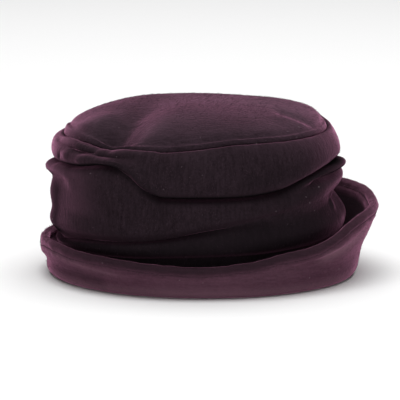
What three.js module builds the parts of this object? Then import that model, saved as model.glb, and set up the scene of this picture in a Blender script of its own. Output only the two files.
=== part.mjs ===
// A soft fleece hat whose tall side band is pushed down into accordion folds.
// It stands on the turned-up brim: +Z is up, the long way of the head lies along X, and all sizes are millimetres.
// Four pieces are sewn together: the oval crown top, the folded side band, and the brim's two layers.

import * as THREE from "three";

// The head oval, on which every fold is measured, and where its middle lies from the middle of the brim.
const HEAD = { halfLength: 102, halfWidth: 86, middleX: -9.7, middleY: 0 };

// One layer of fleece in the crown and in the brim, and the gap left at each seam.
const CROWN_FLEECE = 2.6;
const BRIM_FLEECE = 2.8;
const SEAM_GAP = 0.3;

// Facets round the hat in degrees, with finer ones where the first fold drops steeply at the front left.
const COARSE_STEP = 8;
const STEEP_STRETCH = { from: 230, to: 262 };

// A row of a fold line: the azimuth in degrees from the right end, counterclockwise seen from above,
// how far the line runs outside the head oval there, and its height.
const at = (azimuth, out, up) => ({ azimuth, out, up });

// The side band from its top edge to its foot, one table for each line along which the cloth bends.
const BAND_LINES = {
  seam: [
    at(0, -4.5, 108.5), at(18, -6, 111), at(60, -6.5, 111.5), at(120, -6, 110), at(165, -4.5, 107.5),
    at(180, -3.2, 107), at(197, -4.5, 105.6), at(212, -6, 105.4), at(222, -8, 103), at(228, -9, 101.4),
    at(240, -7, 103.6), at(256, -6, 104), at(270, -6, 106.2), at(289, -6, 109.4), at(315, -6, 109),
    at(345, -5.5, 109.4),
  ],
  shoulder: [
    at(0, -1.4, 106), at(18, -1.6, 108.2), at(60, -1.5, 108.8), at(120, -1.5, 107.4), at(180, -0.8, 104.6),
    at(212, 0.2, 102.8), at(228, -2, 99.6), at(240, -1, 101.4), at(256, -1.6, 101.8), at(270, -1.5, 103.8),
    at(289, -1.5, 106.8), at(315, -1.5, 106.8),
  ],
  tier_1_top: [
    at(0, 2.4, 100), at(45, 3, 102.4), at(90, 3, 102.4), at(180, 3.2, 100.6), at(205, 3.2, 99.4),
    at(228, -0.6, 97), at(240, 0.2, 98), at(256, 2.4, 97), at(270, 2.8, 98.6), at(315, 2.8, 101.4),
  ],
  tier_1: [
    at(0, 3.8, 93.4), at(45, 5, 93), at(90, 5.5, 92), at(135, 5, 92.4), at(180, 4.9, 95), at(212, 5.6, 95.4),
    at(230, 3.4, 96), at(243, 4, 94), at(256, 5.5, 88), at(280, 6, 88), at(315, 5.5, 91),
  ],
  tier_1_foot: [
    at(0, 2.6, 89.2), at(45, 4.5, 84.5), at(90, 5, 83), at(135, 4.5, 84.6), at(180, 3.4, 88.6), at(212, 4.5, 91.4),
    at(230, 4.6, 95.2), at(236, 4.8, 95), at(242, 5.2, 91.6), at(249, 6, 82), at(257, 6.3, 76.4), at(285, 6, 76.2),
    at(305, 5, 78.6), at(320, 4.4, 84.6), at(332, 3.6, 88.6), at(345, 3, 90.4),
  ],
  crease_a: [
    at(0, -3.5, 86), at(45, -3, 80.5), at(90, -3.5, 78.5), at(135, -3.5, 80.6), at(180, -3.5, 85),
    at(212, -3.5, 87.4), at(230, -3.5, 91.6), at(236, -3.5, 91.2), at(242, -3.5, 87), at(249, -3, 76.8),
    at(257, -3.5, 71), at(287, -3.5, 70.8), at(304, -3.5, 73), at(312, -3, 76.6), at(320, -2.4, 80.6),
    at(332, -1.6, 84.8), at(345, -2.6, 87),
  ],
  shelf: [
    at(0, 8.6, 82.8), at(20, 7, 79.4), at(45, 5, 76), at(90, 5, 74), at(135, 5.5, 76.4), at(165, 8, 80),
    at(180, 9.6, 80.2), at(196, 7.2, 81.6), at(212, 5, 84), at(230, 4.2, 87.6), at(240, 3.4, 84), at(249, 2.8, 72.6),
    at(257, 4, 67.6), at(287, 4.5, 67.6), at(304, 2, 70.8), at(312, 2, 74.6), at(320, 3.4, 79), at(332, 5.4, 82.6),
    at(345, 7.2, 83.2),
  ],
  under_shelf: [
    at(0, 4.6, 77.4), at(20, 4.6, 74.2), at(90, 5.8, 68), at(165, 5.4, 73.4), at(180, 4.8, 73.4), at(196, 5, 75.4),
    at(212, 5.4, 78), at(230, 4.8, 81), at(243, 3, 74.4), at(257, 5.2, 63), at(287, 5.8, 63.2), at(300, 4, 66),
    at(312, 0.4, 71.6), at(320, -1.2, 75.6), at(332, -1, 78), at(345, 1.6, 78),
  ],
  tier_2_top: [
    at(0, 7, 73.2), at(20, 6, 68.4), at(90, 6.5, 61), at(165, 6.6, 61), at(180, 6.5, 61.8), at(212, 6.6, 66),
    at(235, 5.2, 67), at(257, 6, 58.8), at(287, 6.5, 60.2), at(304, 6, 62.6), at(320, 5.6, 69.4), at(332, 5.6, 72.4),
    at(345, 6.4, 73.4),
  ],
  tier_2: [
    at(0, 3.6, 66), at(20, 3.6, 62), at(90, 5.5, 56), at(160, 5.2, 48), at(180, 5, 49.4), at(212, 6, 54),
    at(235, 6.2, 54), at(257, 6, 52.6), at(287, 5.5, 56.8), at(315, 5, 61.6), at(340, 4, 66),
  ],
  tier_2_foot: [
    at(0, -0.6, 61), at(20, 1, 57), at(90, 4, 51.5), at(155, 6, 37.6), at(180, 6.6, 39.4), at(212, 6.2, 42),
    at(235, 5.2, 43.6), at(257, 4.6, 46.6), at(272, 4, 51.2), at(287, 3.6, 55), at(300, 3.2, 57.6), at(315, 3, 57.8),
    at(340, 0.6, 60.4),
  ],
  crease_b: [
    at(0, -3.6, 56.6), at(20, -3, 53), at(90, -2.5, 46), at(155, -1.5, 30.4), at(180, -1.5, 29.4), at(196, -1.5, 29),
    at(212, -1.8, 33), at(221, -1.9, 34.8), at(236, -2, 36.2), at(249, -2, 38), at(260, -2, 41.4), at(269, -1.8, 45.4),
    at(285, -1, 50.4), at(297, -0.5, 53), at(328, -1.4, 52.6), at(345, -3, 55),
  ],
  tier_3_top: [
    at(0, 4.5, 50.6), at(20, 4.4, 47), at(90, 3.6, 41.6), at(155, 2.6, 28), at(185, 1.8, 26.8), at(212, 2.4, 30),
    at(236, 3, 33), at(260, 3.4, 38.4), at(285, 3.6, 45.4), at(315, 4, 47.2), at(340, 4.4, 49.2),
  ],
  tier_3: [
    at(0, 9, 41), at(20, 8, 39), at(90, 4.4, 34.6), at(155, 2.4, 25.2), at(185, 1.6, 24.4), at(212, 2.2, 27),
    at(236, 3, 30), at(260, 4.2, 34.4), at(285, 5, 38.4), at(315, 6, 39), at(340, 7.8, 40.2),
  ],
  tier_3_foot: [
    at(0, 5.4, 33.6), at(20, 5, 32), at(90, 2.6, 28), at(155, 0.6, 22.4), at(185, -0.2, 22), at(212, 0.4, 24.4),
    at(236, 1.4, 27.4), at(260, 2.6, 30.8), at(285, 3, 32.4), at(315, 3.4, 33), at(340, 4.6, 33.6),
  ],
  crease_c: [
    at(0, -2, 29.6), at(90, -2.4, 25), at(155, -2.8, 20.4), at(185, -3, 20), at(212, -2.8, 22), at(236, -2.6, 25),
    at(285, -2.4, 28), at(330, -2.2, 29.4),
  ],
  foot: [at(0, -2.4, 21.4), at(90, -2.8, 20), at(185, -3, 17.2), at(236, -2.8, 19.2), at(285, -2.6, 20.4)],
  joint: [at(0, -3, 15), at(180, -3, 15)],
};

// The brim's underside sinks this much into itself on the floor, so that it is flat there.
const FLATTENED = 0.35;
const BRIM_FLOOR = BRIM_FLEECE + SEAM_GAP / 2 - FLATTENED;

// The middle of the brim's two layers, from the seam under the band, round the fold it stands on, to its edge.
const BRIM_LINES = {
  joint: [at(0, -3, 14.7), at(180, -3, 14.7)],
  leg: [at(0, -3, 9.6), at(180, -3, 9.6)],
  inner_turn: [at(0, -1.6, 5), at(180, -1.8, 5)],
  floor_in: [at(0, 2, BRIM_FLOOR), at(180, 0.6, BRIM_FLOOR)],
  floor_out: [
    at(0, 10, BRIM_FLOOR), at(45, 8, BRIM_FLOOR), at(90, 5, BRIM_FLOOR), at(180, 3.6, BRIM_FLOOR),
    at(225, 4, BRIM_FLOOR), at(270, 5, BRIM_FLOOR), at(300, 8.5, BRIM_FLOOR), at(330, 12, BRIM_FLOOR),
  ],
  outer_turn: [
    at(0, 13.8, 6.2), at(45, 12, 6.2), at(90, 9, 6.2), at(180, 7.2, 6.2), at(225, 8, 6.2), at(270, 9, 6.2),
    at(300, 12.4, 6.2), at(330, 15.6, 6.2),
  ],
  wall: [
    at(0, 19.6, 24.4), at(20, 18.6, 27), at(45, 15.4, 27), at(90, 11.6, 22.6), at(135, 9.4, 16.6), at(180, 8, 12.8),
    at(217, 9.6, 12), at(245, 11.6, 10.8), at(270, 12.2, 11), at(300, 15, 13.8), at(320, 17.8, 17), at(340, 19.8, 21),
  ],
  hem: [
    at(0, 27.8, 40), at(20, 25.6, 46.4), at(45, 21.2, 46), at(90, 15.4, 37), at(135, 13, 27.6), at(165, 12.4, 21.4),
    at(185, 12.6, 20.6), at(203, 13.2, 20.4), at(217, 14, 18.2), at(231, 14.8, 15.8), at(245, 15, 14.8),
    at(270, 15.2, 15.4), at(289, 17, 18.4), at(305, 19.8, 23.4), at(319, 22.6, 26.8), at(330, 25, 30.8),
    at(345, 27, 36.2),
  ],
  edge: [
    at(0, 31.8, 49.4), at(10, 31, 55), at(20, 29, 57.8), at(32, 26.6, 58), at(45, 23.6, 56.8), at(65, 20, 52.4),
    at(90, 17, 46), at(135, 13.2, 35), at(165, 10.8, 27.4), at(185, 10.4, 26.8), at(206, 12.2, 29.2),
    at(220, 14.4, 27.4), at(232, 15.6, 24.6), at(248, 16.4, 23.2), at(270, 17, 23), at(289, 18.4, 26.4),
    at(302, 20.6, 32), at(312, 22.2, 34), at(319, 23.4, 35.8), at(325, 24.8, 39), at(331, 26.4, 42.8),
    at(346, 30.2, 47),
  ],
};

// The crown top: how high it swells over its seam, where its highest point lies, and the shape of that swell.
const DOME = { height: 19.5, seamMean: 107.5, peakX: -14, peakY: 8, roundness: 3, fullness: 0.66 };

// The raised seam edge of the crown top.
const SEAM_RIDGE = { width: 5, height: 1.4 };

// Furrows (positive depth) and crests (negative depth) pressed into the crown top, from one point in plan to another.
// left and right are how wide they are on each hand, and fade is the share of the depth that the far end keeps.
const FURROWS = [
  { name: "left_dent", from: [-66, -56], to: [-40, 40], left: 24, right: 12, depth: 11, fade: 0.08 },
  { name: "left_crest", from: [-47, -66], to: [-24, 34], left: 7, right: 12, depth: -2.4, fade: 0.3 },
  { name: "right_dent", from: [62, -8], to: [78, -34], left: 6, right: 6, depth: 2.6, fade: 0.4 },
];

// How the share of the way from the crown top's peak to its seam runs from ring to ring,
// and how sharply the furrows end at the seam.
const DOME_RINGS = [0.22, 0.42, 0.6, 0.75, 0.86, 0.93, 0.97, 1];
const SEAM_HOLD = 16;

const radians = THREE.MathUtils.degToRad;
const { lerp, clamp } = THREE.MathUtils;

// The slope of a curve at a row, from the slopes on its two sides: none at a peak, so that nothing overshoots.
const rowSlope = (before, after) => (before * after <= 0 ? 0 : (2 * before * after) / (before + after));

// A table's value at any azimuth, on a smooth curve round the hat through its rows.
function around(rows, column, azimuth) {
  const count = rows.length;
  const row = (i) => {
    const turns = Math.floor(i / count);
    const found = rows[i - turns * count];
    return { azimuth: found.azimuth + 360 * turns, value: found[column] };
  };
  const turned = azimuth < rows[0].azimuth ? azimuth + 360 : azimuth;
  let i = 0;
  while (row(i + 1).azimuth <= turned) i += 1;
  const [a, b, c, d] = [row(i - 1), row(i), row(i + 1), row(i + 2)];
  const slope = (p, q) => (q.value - p.value) / (q.azimuth - p.azimuth);
  const span = c.azimuth - b.azimuth;
  const t = (turned - b.azimuth) / span;
  const m0 = rowSlope(slope(a, b), slope(b, c)) * span;
  const m1 = rowSlope(slope(b, c), slope(c, d)) * span;
  const [t2, t3] = [t * t, t * t * t];
  return (2 * t3 - 3 * t2 + 1) * b.value + (t3 - 2 * t2 + t) * m0 + (3 * t2 - 2 * t3) * c.value + (t3 - t2) * m1;
}

// The point that lies a distance outside the head oval, at a height.
function ovalPoint(azimuth, out, up) {
  const angle = radians(azimuth);
  return new THREE.Vector3(
    (HEAD.halfLength + out) * Math.cos(angle),
    (HEAD.halfWidth + out) * Math.sin(angle),
    up,
  );
}

// The azimuths at which every piece is cut into facets.
function facetAzimuths() {
  const azimuths = [];
  for (let azimuth = 0; azimuth < 360; azimuth += COARSE_STEP) {
    azimuths.push(azimuth);
    const steep = azimuth > STEEP_STRETCH.from && azimuth + COARSE_STEP < STEEP_STRETCH.to;
    if (steep) azimuths.push(azimuth + COARSE_STEP / 2);
  }
  return azimuths;
}

// The section of a set of lines at an azimuth: a smooth curve through each line's place there.
function sectionCurve(lines, azimuth) {
  const stations = Object.values(lines).map(
    (rows) => new THREE.Vector3(around(rows, "out", azimuth), 0, around(rows, "up", azimuth)),
  );
  return new THREE.CatmullRomCurve3(stations, false, "centripetal");
}

// The section's points: steps holds how many facets each stretch between two lines is cut into.
function sectionPoints(lines, steps, azimuth) {
  const curve = sectionCurve(lines, azimuth);
  const parameters = [0];
  steps.forEach((count, stretch) => {
    for (let k = 1; k <= count; k += 1) parameters.push((stretch + k / count) / steps.length);
  });
  return parameters.map((t) => {
    const { x: out, z: up } = curve.getPoint(t);
    return ovalPoint(azimuth, out, up);
  });
}

// The way out of the cloth at each point of a grid of sections, square to its surface.
function gridNormals(grid) {
  const last = grid[0].length - 1;
  return grid.map((section, i) =>
    section.map((point, k) => {
      const next = grid[(i + 1) % grid.length][k];
      const previous = grid[(i + grid.length - 1) % grid.length][k];
      const along = section[Math.min(k + 1, last)].clone().sub(section[Math.max(k - 1, 0)]);
      return next.clone().sub(previous).cross(along).negate().normalize();
    }),
  );
}

// The triangles that join each ring of points to the next one, and the last ring to the first where it closes.
function ringFaces(ringCount, count, closes) {
  const indices = [];
  const joins = closes ? ringCount : ringCount - 1;
  for (let r = 0; r < joins; r += 1) {
    const nextRing = (r + 1) % ringCount;
    for (let i = 0; i < count; i += 1) {
      const j = (i + 1) % count;
      const [a, b, c, d] = [r * count + i, r * count + j, nextRing * count + j, nextRing * count + i];
      indices.push(a, d, b, b, d, c);
    }
  }
  return indices;
}

function meshGeometry(points, indices) {
  const geometry = new THREE.BufferGeometry().setFromPoints(points);
  geometry.setIndex(indices);
  return geometry;
}

// One layer of cloth that follows a grid of sections.
// offset moves it to one side of the grid, and its two ends are squared to startNormal and endNormal.
// rounded is how far the end edge stands out in the middle of its thickness.
function layerGeometry(grid, { offset, thickness, startNormal, endNormal, rounded }) {
  const normals = gridNormals(grid);
  const last = grid[0].length - 1;
  const normalAt = (i, k) => {
    if (k === 0 && startNormal) return startNormal(i);
    if (k === last && endNormal) return endNormal(i);
    return normals[i][k];
  };
  const ringAt = (k, distance) =>
    grid.map((section, i) => {
      const point = section[k].clone().addScaledVector(normalAt(i, k), distance);
      point.z = Math.max(point.z, 0);
      return point;
    });
  const rings = [];
  for (let k = 0; k <= last; k += 1) rings.push(ringAt(k, offset + thickness / 2));
  if (rounded) {
    const middle = ringAt(last, offset);
    middle.forEach((point, i) => {
      const along = grid[i][last].clone().sub(grid[i][last - 1]).normalize();
      point.addScaledVector(along, rounded);
    });
    rings.push(middle);
  }
  for (let k = last; k >= 0; k -= 1) rings.push(ringAt(k, offset - thickness / 2));
  return meshGeometry(rings.flat(), ringFaces(rings.length, grid.length, true));
}

// The direction straight out from the head oval at each facet azimuth.
function outward(azimuths) {
  return (i) => {
    const angle = radians(azimuths[i]);
    return new THREE.Vector3(Math.cos(angle) * HEAD.halfWidth, Math.sin(angle) * HEAD.halfLength, 0).normalize();
  };
}

// The folded side band.
function sideBand(azimuths) {
  const steps = [1, 2, 1, 1, 2, 2, 1, 2, 1, 1, 2, 2, 1, 1, 2, 1, 1];
  const lines = { ...BAND_LINES };
  lines.seam = BAND_LINES.seam.map((row) => at(row.azimuth, row.out + SEAM_GAP, row.up));
  const grid = azimuths.map((azimuth) => sectionPoints(lines, steps, azimuth));
  return layerGeometry(grid, {
    offset: 0,
    thickness: CROWN_FLEECE,
    startNormal: () => new THREE.Vector3(0, 0, 1),
    endNormal: outward(azimuths),
  });
}

// One layer of the brim: side is -1 for the outer layer, which stands on the floor, and 1 for the facing.
function brimLayer(azimuths, side) {
  const steps = [1, 1, 1, 1, 2, 2, 2, 2];
  const grid = azimuths.map((azimuth) => sectionPoints(BRIM_LINES, steps, azimuth));
  return layerGeometry(grid, {
    offset: (side * (BRIM_FLEECE + SEAM_GAP)) / 2,
    thickness: BRIM_FLEECE,
    startNormal: outward(azimuths),
    rounded: BRIM_FLEECE * 0.35,
  });
}

// How far a furrow presses the crown top down at a point in plan.
function furrowDepth({ from, to, left, right, depth, fade }, x, y) {
  const start = new THREE.Vector2(...from);
  const along = new THREE.Vector2(...to).sub(start);
  const offset = new THREE.Vector2(x, y).sub(start);
  const t = clamp(offset.dot(along) / along.lengthSq(), 0, 1);
  const width = along.cross(offset) > 0 ? left : right;
  const distance = offset.sub(along.multiplyScalar(t)).length();
  return depth * lerp(1, fade, t) * Math.exp(-((distance / width) ** 2));
}

// A point in the middle of the crown top's cloth: share is 0 at its peak and 1 at the seam.
function crownTopPoint(azimuth, share) {
  const seamUp = around(BAND_LINES.seam, "up", azimuth);
  const seamPoint = ovalPoint(azimuth, around(BAND_LINES.seam, "out", azimuth), 0);
  const point = new THREE.Vector3(DOME.peakX, DOME.peakY, 0).lerp(seamPoint, share);
  const swell = DOME.height * (1 - share ** DOME.roundness) ** DOME.fullness;
  const halfRidge = SEAM_RIDGE.width / 2;
  const fromRidge = point.distanceTo(seamPoint) - halfRidge;
  const ridge = SEAM_RIDGE.height * Math.exp(-((fromRidge / halfRidge) ** 2));
  const pressed = FURROWS.reduce((sum, furrow) => sum + furrowDepth(furrow, point.x, point.y), 0);
  const held = 1 - share ** SEAM_HOLD;
  point.z = lerp(DOME.seamMean, seamUp, share ** 3) + swell + ridge - pressed * held;
  return point;
}

// The crown top: an oval panel that swells over its seam, with its furrows.
function crownTop(azimuths) {
  const raised = (point, height) => point.clone().setZ(point.z + height);
  const middle = DOME_RINGS.map((share) => azimuths.map((azimuth) => crownTopPoint(azimuth, share)));
  const upper = middle.map((ring) => ring.map((point) => raised(point, CROWN_FLEECE / 2)));
  const lower = middle.map((ring) => ring.map((point) => raised(point, -CROWN_FLEECE / 2)));
  const rings = [...upper, ...lower.reverse()];
  const peak = crownTopPoint(0, 0);
  const points = [...rings.flat(), raised(peak, CROWN_FLEECE / 2), raised(peak, -CROWN_FLEECE / 2)];
  const [topPole, bottomPole] = [points.length - 2, points.length - 1];
  const count = azimuths.length;
  const indices = ringFaces(rings.length, count, false);
  const lastRing = (rings.length - 1) * count;
  for (let i = 0; i < count; i += 1) {
    const j = (i + 1) % count;
    indices.push(i, j, topPole);
    indices.push(lastRing + j, lastRing + i, bottomPole);
  }
  return meshGeometry(points, indices);
}

const plum = (shade) => new THREE.MeshStandardMaterial({ color: shade, roughness: 0.95, metalness: 0 });

function piece(name, geometry, material) {
  geometry.computeVertexNormals();
  const mesh = new THREE.Mesh(geometry, material);
  mesh.name = name;
  return mesh;
}

const azimuths = facetAzimuths();
const hat = new THREE.Group();
hat.add(
  piece("crown_top", crownTop(azimuths), plum(0x4f3040)),
  piece("side_band", sideBand(azimuths), plum(0x35202c)),
  piece("brim_outer", brimLayer(azimuths, -1), plum(0x4a2c3c)),
  piece("brim_facing", brimLayer(azimuths, 1), plum(0x402634)),
);
hat.position.set(HEAD.middleX, HEAD.middleY, 0);

export default hat;
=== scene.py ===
"""Dresses the fleece hat: four cloth pieces with their seams, stitches and nap, on a pale floor."""

import logging
import math
from dataclasses import dataclass, field
from enum import Enum
from typing import NamedTuple

import bpy
import numpy as np
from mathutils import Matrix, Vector, noise


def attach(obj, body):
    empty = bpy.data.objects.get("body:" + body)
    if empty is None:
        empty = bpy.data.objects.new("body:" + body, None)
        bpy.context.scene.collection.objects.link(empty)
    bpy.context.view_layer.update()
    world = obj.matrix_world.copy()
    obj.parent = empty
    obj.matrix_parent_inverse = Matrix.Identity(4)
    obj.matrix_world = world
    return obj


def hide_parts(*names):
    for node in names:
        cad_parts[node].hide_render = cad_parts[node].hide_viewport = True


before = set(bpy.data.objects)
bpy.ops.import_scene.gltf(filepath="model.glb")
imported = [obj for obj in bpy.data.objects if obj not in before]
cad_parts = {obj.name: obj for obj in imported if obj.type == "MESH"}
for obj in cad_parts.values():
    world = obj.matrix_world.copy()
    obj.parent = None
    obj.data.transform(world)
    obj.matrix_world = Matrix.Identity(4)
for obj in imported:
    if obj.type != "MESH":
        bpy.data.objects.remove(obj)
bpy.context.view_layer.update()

log = logging.getLogger("hat")

MILLIMETRE = 0.001
FULL_TURN = 360.0
TINY = 1e-9
NOISE_MIDDLE = (0.3, 0.7)


class Row(NamedTuple):
    """A point of a fold line.

    azimuth is in degrees from the right end, counterclockwise seen from above. out is how many millimetres
    the line runs outside the head oval there, and up is its height in millimetres.
    """

    azimuth: float
    out: float
    up: float


Lines = dict[str, tuple[Row, ...]]


@dataclass(frozen=True)
class HeadOval:
    """The oval of the head, on which every fold is measured, in millimetres."""

    half_length: float = 102.0
    half_width: float = 86.0
    middle_x: float = -9.7

    def place(self, azimuths: np.ndarray, out: np.ndarray, up: np.ndarray) -> np.ndarray:
        """Finds the points that lie a distance outside the oval, at a height.

        Args:
            azimuths: degrees from the right end.
            out: millimetres outside the oval.
            up: heights in millimetres.

        Returns:
            The points, one for each azimuth along the last axis but one.
        """
        angle = np.radians(azimuths)
        x = (self.half_length + out) * np.cos(angle) + self.middle_x
        y = (self.half_width + out) * np.sin(angle)
        return np.stack(np.broadcast_arrays(x, y, up), axis=-1)

    def outward(self, azimuths: np.ndarray) -> np.ndarray:
        """Returns the level direction straight out of the oval at each azimuth."""
        angle = np.radians(azimuths)
        x, y = np.cos(angle) * self.half_width, np.sin(angle) * self.half_length
        return unit(np.stack((x, y, np.zeros_like(angle)), axis=-1))

    def mean_radius(self) -> float:
        """Returns the radius of the circle that stands in for the oval in lengths round it."""
        return (self.half_length + self.half_width) / 2


OVAL = HeadOval()
UP = np.array((0.0, 0.0, 1.0))


def unit(vectors: np.ndarray) -> np.ndarray:
    """Returns the vectors, each with a length of one."""
    return vectors / np.maximum(np.linalg.norm(vectors, axis=-1, keepdims=True), TINY)


def smooth_step(low: float, high: float, value: np.ndarray) -> np.ndarray:
    """Returns 0 below low, 1 above high, and a smooth rise between them."""
    share = np.clip((value - low) / (high - low), 0.0, 1.0)
    return share * share * (3.0 - 2.0 * share)


def bell(distance: np.ndarray, width: float | np.ndarray) -> np.ndarray:
    """Returns a smooth hump, 1 where the distance is 0 and nearly 0 two widths away."""
    return np.exp(-((distance / width) ** 2))


def turn_from(azimuths: np.ndarray, middle: float) -> np.ndarray:
    """Returns how many degrees each azimuth lies from another one, the short way round."""
    return (azimuths - middle + FULL_TURN / 2) % FULL_TURN - FULL_TURN / 2


def hermite(
    t: float | np.ndarray, start: np.ndarray, start_slope: np.ndarray, end: np.ndarray, end_slope: np.ndarray
) -> np.ndarray:
    """Returns the points at t, from 0 to 1, on the cubic curves with these ends and slopes."""
    return (
        (2 * t**3 - 3 * t**2 + 1) * start
        + (t**3 - 2 * t**2 + t) * start_slope
        + (3 * t**2 - 2 * t**3) * end
        + (t**3 - t**2) * end_slope
    )


def around(rows: tuple[Row, ...], column: str, azimuths: np.ndarray) -> np.ndarray:
    """Reads a table at any azimuth, on a smooth curve round the hat that doesn't overshoot its rows.

    Args:
        rows: the table.
        column: the value that is read, "out" or "up".
        azimuths: degrees, from 0 to 360.

    Returns:
        The value at each azimuth.
    """
    places = np.array([row.azimuth for row in rows])
    values = np.array([getattr(row, column) for row in rows])
    spans = np.diff(np.append(places, places[0] + FULL_TURN))
    after = np.diff(np.append(values, values[0])) / spans
    before = np.roll(after, 1)
    rising = before * after > 0
    total = np.where(rising, before + after, 1.0)
    slopes = np.where(rising, 2.0 * before * after / total, 0.0)
    turned = np.where(azimuths < places[0], azimuths + FULL_TURN, azimuths)
    i = np.searchsorted(places, turned, side="right") - 1
    j = (i + 1) % len(rows)
    t = (turned - places[i]) / spans[i]
    return hermite(t, values[i], slopes[i] * spans[i], values[j], slopes[j] * spans[i])


def section_grid(lines: Lines, steps: tuple[int, ...], azimuths: np.ndarray, ends_close: bool) -> np.ndarray:
    """Lofts a centripetal Catmull-Rom section through the lines, all round the hat.

    Args:
        lines: the fold lines, from the first edge of the cloth to the last.
        steps: how many rows each stretch between two lines is cut into.
        azimuths: where the sections stand.
        ends_close: whether the last stretch's rows crowd together towards the edge.

    Returns:
        The points in millimetres, with the rows of the section first and the azimuths second.
    """
    stations = np.stack(
        [
            np.stack((around(rows, "out", azimuths), around(rows, "up", azimuths)), axis=-1)
            for rows in lines.values()
        ]
    )
    first = 2 * stations[:1] - stations[1:2]
    last = 2 * stations[-1:] - stations[-2:-1]
    padded = np.concatenate((first, stations, last))
    rows = [stations[0]]
    for stretch, count in enumerate(steps):
        p0, p1, p2, p3 = padded[stretch : stretch + 4]
        d0, d1, d2 = (
            np.sqrt(np.linalg.norm(end - start, axis=-1, keepdims=True))
            for start, end in ((p0, p1), (p1, p2), (p2, p3))
        )
        m1 = ((p1 - p0) / d0 - (p2 - p0) / (d0 + d1) + (p2 - p1) / d1) * d1
        m2 = ((p2 - p1) / d1 - (p3 - p1) / (d1 + d2) + (p3 - p2) / d2) * d1
        for k in range(1, count + 1):
            t = k / count
            if ends_close and stretch == len(steps) - 1:
                t = math.sin(t * math.pi / 2)
            rows.append(hermite(t, p1, m1, p2, m2))
    section = np.stack(rows)
    return OVAL.place(azimuths, section[..., 0], section[..., 1])


def grid_normals(grid: np.ndarray) -> np.ndarray:
    """Returns the way out of the cloth at each point of a grid whose second axis runs round the hat."""
    across = np.roll(grid, -1, axis=1) - np.roll(grid, 1, axis=1)
    along = np.empty_like(grid)
    along[1:-1] = grid[2:] - grid[:-2]
    along[0] = grid[1] - grid[0]
    along[-1] = grid[-1] - grid[-2]
    return -unit(np.cross(across, along))


def run_lengths(grid: np.ndarray) -> np.ndarray:
    """Returns how far each point of a grid lies from the first row, measured down its own section."""
    steps = np.linalg.norm(np.diff(grid, axis=0), axis=-1)
    return np.concatenate((np.zeros((1, grid.shape[1])), np.cumsum(steps, axis=0)))


@dataclass(frozen=True)
class Cloud:
    """Soft noise over a cloth.

    height is how high its lumps stand and size is how far apart they lie, in millimetres. seed moves the
    noise to another place. It is the sum of a few layers, each finer than the last one.
    """

    height: float
    size: float
    seed: float
    smoothness: float = 1.0
    finer: float = 2.0
    layers: int = 2

    def at(self, points: np.ndarray) -> np.ndarray:
        """Returns the noise at each point, from about -height to height."""
        flat = points.reshape(-1, 3) / self.size + self.seed
        values = [noise.fractal(Vector(p), self.smoothness, self.finer, self.layers) for p in flat]
        return self.height * np.array(values).reshape(points.shape[:-1])


@dataclass(frozen=True)
class Wrinkle:
    """A crest (positive height) or a furrow (negative) along a path on the cloth's face.

    The path's points are azimuths in degrees and heights in millimetres. above and below are its widths on
    its two hands, and blunt is the share of its length over which it dies away at each end. Where it marks
    painted shade or painted light, its height is a share from 0 to 1.
    """

    path: tuple[tuple[float, float], ...]
    height: float
    above: float
    below: float
    blunt: float = 0.25

    def lift(self, azimuths: np.ndarray, up: np.ndarray) -> np.ndarray:
        """Measures how far the wrinkle lifts the cloth.

        Args:
            azimuths: degrees at each point.
            up: heights at each point, in millimetres.

        Returns:
            The lift at each point, in millimetres.
        """
        scale = math.radians(1.0) * OVAL.mean_radius()
        first = self.path[0][0]
        turned = turn_from(azimuths, first) + first
        place = np.stack(np.broadcast_arrays(turned * scale, up), axis=-1)
        knots = np.array(self.path) * (scale, 1.0)
        lengths = np.linalg.norm(np.diff(knots, axis=0), axis=-1)
        starts = np.concatenate(([0.0], np.cumsum(lengths)))
        best = np.full(place.shape[:-1], np.inf)
        side = np.zeros_like(best)
        share = np.zeros_like(best)
        for knot, nxt, length, start in zip(knots[:-1], knots[1:], lengths, starts):
            way = (nxt - knot) / length
            offset = place - knot
            run = np.clip(offset @ way, 0.0, length)
            distance = np.linalg.norm(offset - run[..., None] * way, axis=-1)
            nearer = distance < best
            best = np.where(nearer, distance, best)
            side = np.where(nearer, way[0] * offset[..., 1] - way[1] * offset[..., 0], side)
            share = np.where(nearer, (start + run) / starts[-1], share)
        width = np.where(side > 0, self.above, self.below)
        ends = smooth_step(0.0, self.blunt, share) * smooth_step(0.0, self.blunt, 1.0 - share)
        return self.height * ends * bell(best, width)


def lifts(wrinkles: tuple[Wrinkle, ...], azimuths: np.ndarray, grid: np.ndarray) -> np.ndarray:
    """Adds up what the wrinkles lift at each point of a grid."""
    total = np.zeros(grid.shape[:-1])
    for wrinkle in wrinkles:
        total += wrinkle.lift(azimuths[None, :], grid[..., 2])
    return total


def set_vectors(mesh: bpy.types.Mesh, name: str, vectors: np.ndarray) -> None:
    """Gives each point of a mesh its vector, as an attribute."""
    mesh.attributes.new(name, "FLOAT_VECTOR", "POINT").data.foreach_set("vector", vectors.ravel())


Marks = dict[str, np.ndarray]


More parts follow.
